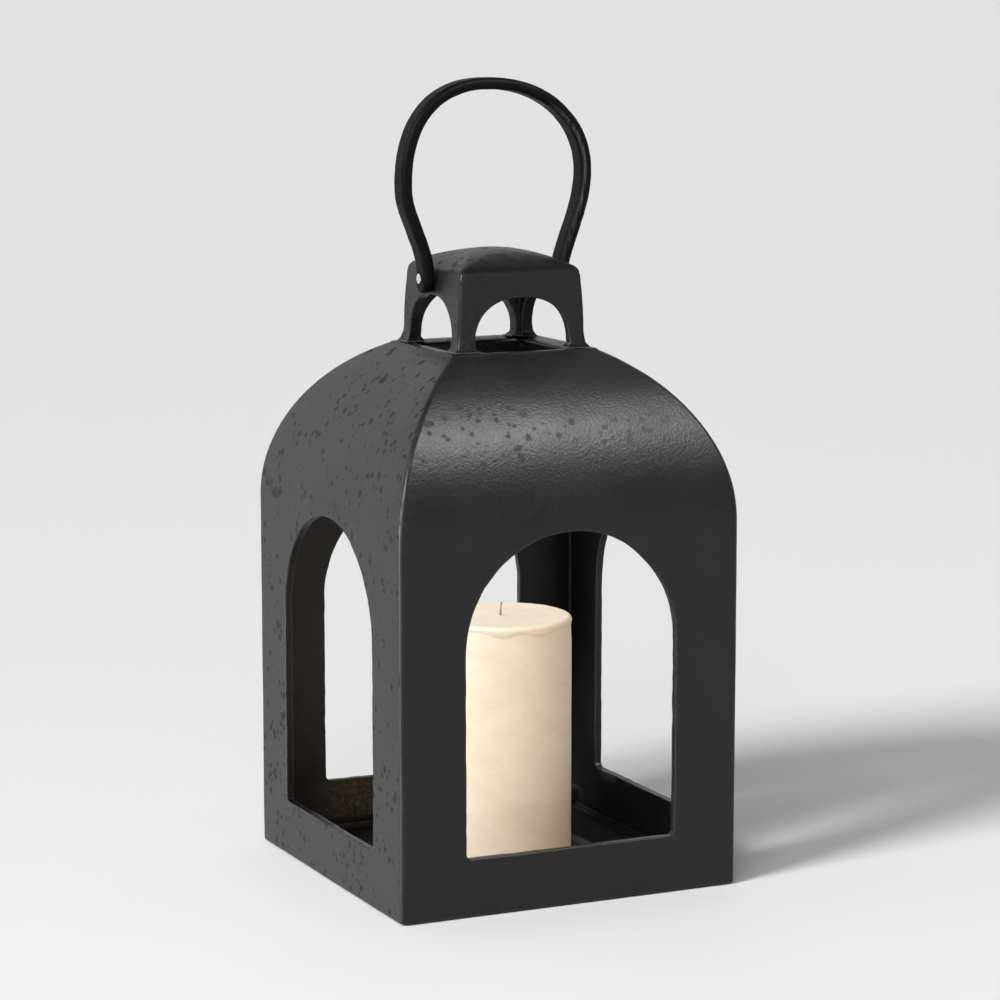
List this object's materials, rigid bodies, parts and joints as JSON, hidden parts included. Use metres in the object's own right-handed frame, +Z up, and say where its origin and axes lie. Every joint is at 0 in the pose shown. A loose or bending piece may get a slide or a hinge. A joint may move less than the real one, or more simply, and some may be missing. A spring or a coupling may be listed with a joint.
{
  "type": "candle lantern",
  "caption": "Square cast lantern with arched windows on every side, a vent cap on legs, a riveted strap handle and a pillar candle standing on the floor plate.",
  "frame": {"origin": "centre of the square plan, on the surface that the foot pads stand on", "axes": "+Z up through the handle; X runs through the two handle rivets, with -X the narrow side in the picture; -Y is the wide front side in the picture"},
  "size_m": [0.19, 0.19, 0.4172],
  "materials": {
    "black_powder_coat": "satin black powder coat with a fine cast grain",
    "plated_steel": "zinc-plated steel",
    "nickel_rivet": "bright nickel",
    "pad_rubber": "matt black rubber",
    "strap": "black strap with a soft satin sheen",
    "wax": null,
    "cotton": "unburnt cotton wick"
  },
  "bodies": {
    "lantern": {"body_shell": "black_powder_coat", "vent_cap": "black_powder_coat", "base_plate": "black_powder_coat", "base_screw_1": "plated_steel", "base_screw_2": "plated_steel", "base_screw_3": "plated_steel", "base_screw_4": "plated_steel", "foot_pad_1": "pad_rubber", "foot_pad_2": "pad_rubber", "foot_pad_3": "pad_rubber", "foot_pad_4": "pad_rubber", "cap_screw_1": "black_powder_coat", "cap_screw_2": "black_powder_coat", "cap_screw_3": "black_powder_coat", "cap_screw_4": "black_powder_coat", "handle_rivet_left": "nickel_rivet", "handle_rivet_right": "nickel_rivet", "rivet_burr_left": "plated_steel", "rivet_burr_right": "plated_steel"},
    "handle": {"handle_strap": "strap"},
    "candle": {"candle_wax": "wax", "candle_wick": "cotton", "wick_tab": "plated_steel"}
  },
  "joints": [
    {"name": "handle_swing", "type": "hinge", "parent": "lantern", "child": "handle", "pos_m": [0, 0, 0.3144], "axis": [1, 0, 0], "range_deg": [-120, 120]},
    {"name": "candle_lift", "type": "slide", "parent": "lantern", "child": "candle", "axis": [0, 0, 1], "range_m": [0, 0.06]}
  ]
}
